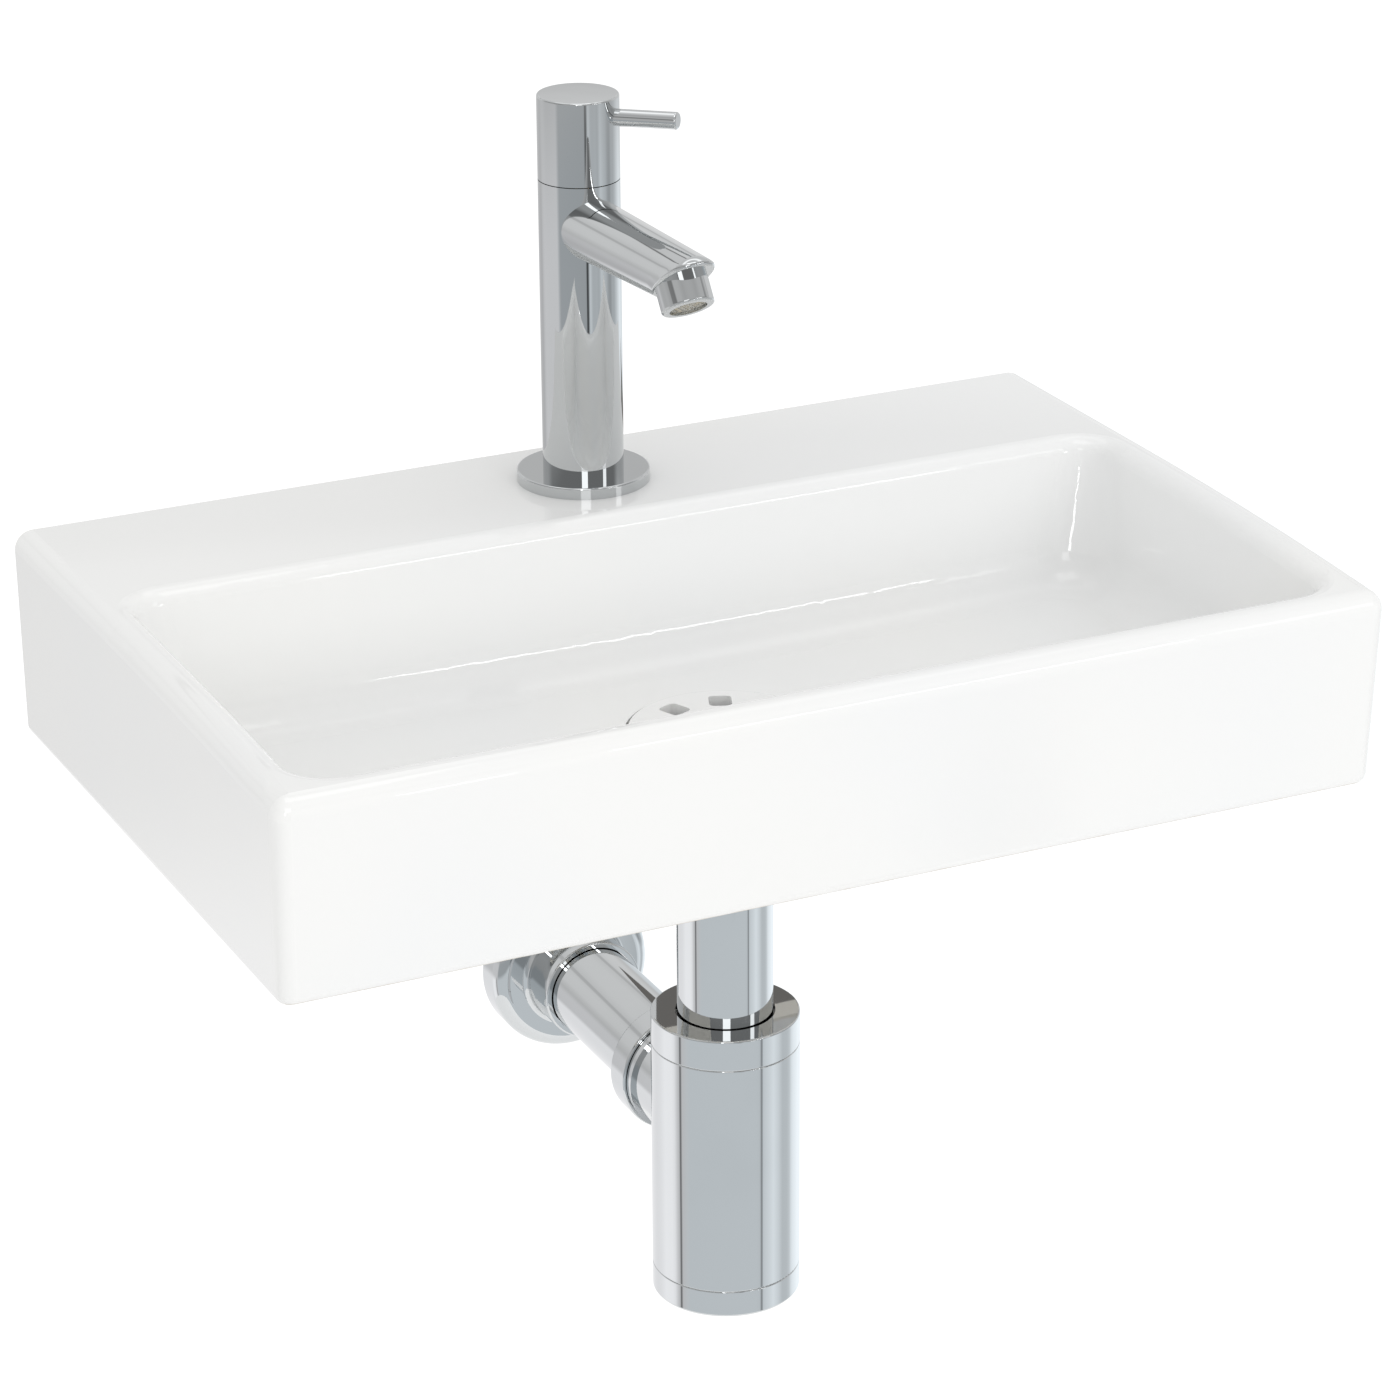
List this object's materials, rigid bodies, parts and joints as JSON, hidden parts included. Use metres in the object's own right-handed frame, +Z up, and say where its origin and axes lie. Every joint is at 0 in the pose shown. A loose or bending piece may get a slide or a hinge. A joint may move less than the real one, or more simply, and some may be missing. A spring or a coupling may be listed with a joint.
{
  "type": "wall-hung hand basin with tap",
  "caption": "Compact wall-hung ceramic hand basin with a rectangular bowl, a single-lever cold tap on its deck, a slotted waste and a chrome bottle trap to the wall.",
  "frame": {"origin": "on the wall plane, midway between the two wall-bolt holes in the back of the basin", "axes": "+Y into the wall, +Z up, +X to the right seen from the front"},
  "size_m": [0.3798, 0.2644, 0.3889],
  "materials": {
    "ceramic": "white glaze, glossy",
    "chrome": "polished chrome plate",
    "brass": "machined brass",
    "rubber": "black rubber",
    "disc": "ground white ceramic",
    "steel": "plain steel",
    "plastic": "white plastic",
    "mesh": "steel wire"
  },
  "bodies": {
    "basin_set": {"basin": "ceramic", "tap_base_ring": "chrome", "tap_body": "chrome", "spout": "chrome", "union_nut": "chrome", "inlet_tube": "chrome", "trap_collar": "chrome", "trap_bottle": "chrome", "outlet_nut": "chrome", "wall_pipe": "chrome", "waste_body": "chrome", "inlet_tail": "brass", "tap_backnut": "brass", "cartridge_body": "brass", "waste_backnut": "brass", "base_gasket": "rubber", "deck_seal": "rubber", "cartridge_seal": "rubber", "waste_top_seal": "rubber", "waste_low_seal": "rubber", "union_seal": "rubber", "slip_seal": "rubber", "outlet_seal": "rubber", "fixed_disc": "disc", "deck_washer": "steel", "waste_washer": "plastic", "slip_ring": "plastic"},
    "handle_set": {"handle": "chrome", "lever": "chrome", "handle_screw": "steel", "spindle": "brass", "spindle_ring": "rubber", "thrust_washer": "plastic", "moving_disc": "disc"},
    "aerator": {"aerator_housing": "chrome", "aerator_seal": "rubber", "aerator_core": "plastic", "aerator_mesh": "mesh"},
    "cover": {"waste_cover": "ceramic"},
    "cup": {"trap_cup": "chrome", "cup_ring": "rubber"},
    "rosette": {"wall_rosette": "chrome"}
  },
  "joints": [
    {"name": "handle_turn", "type": "hinge", "parent": "basin_set", "child": "handle_set", "pos_m": [0, -0.036, 0.16], "axis": [0, 0, 1], "range_deg": [-44, 46]},
    {"name": "aerator_unscrew", "type": "slide", "parent": "basin_set", "child": "aerator", "axis": [0, -0.5736, -0.8192], "range_m": [0, 0.012]},
    {"name": "cover_lift", "type": "slide", "parent": "basin_set", "child": "cover", "axis": [0, 0, 1], "range_m": [0, 0.04]},
    {"name": "cup_unscrew", "type": "slide", "parent": "basin_set", "child": "cup", "axis": [0, 0, -1], "range_m": [0, 0.03]},
    {"name": "rosette_slide", "type": "slide", "parent": "basin_set", "child": "rosette", "axis": [0, -1, 0], "range_m": [-0.008, 0.05]}
  ]
}
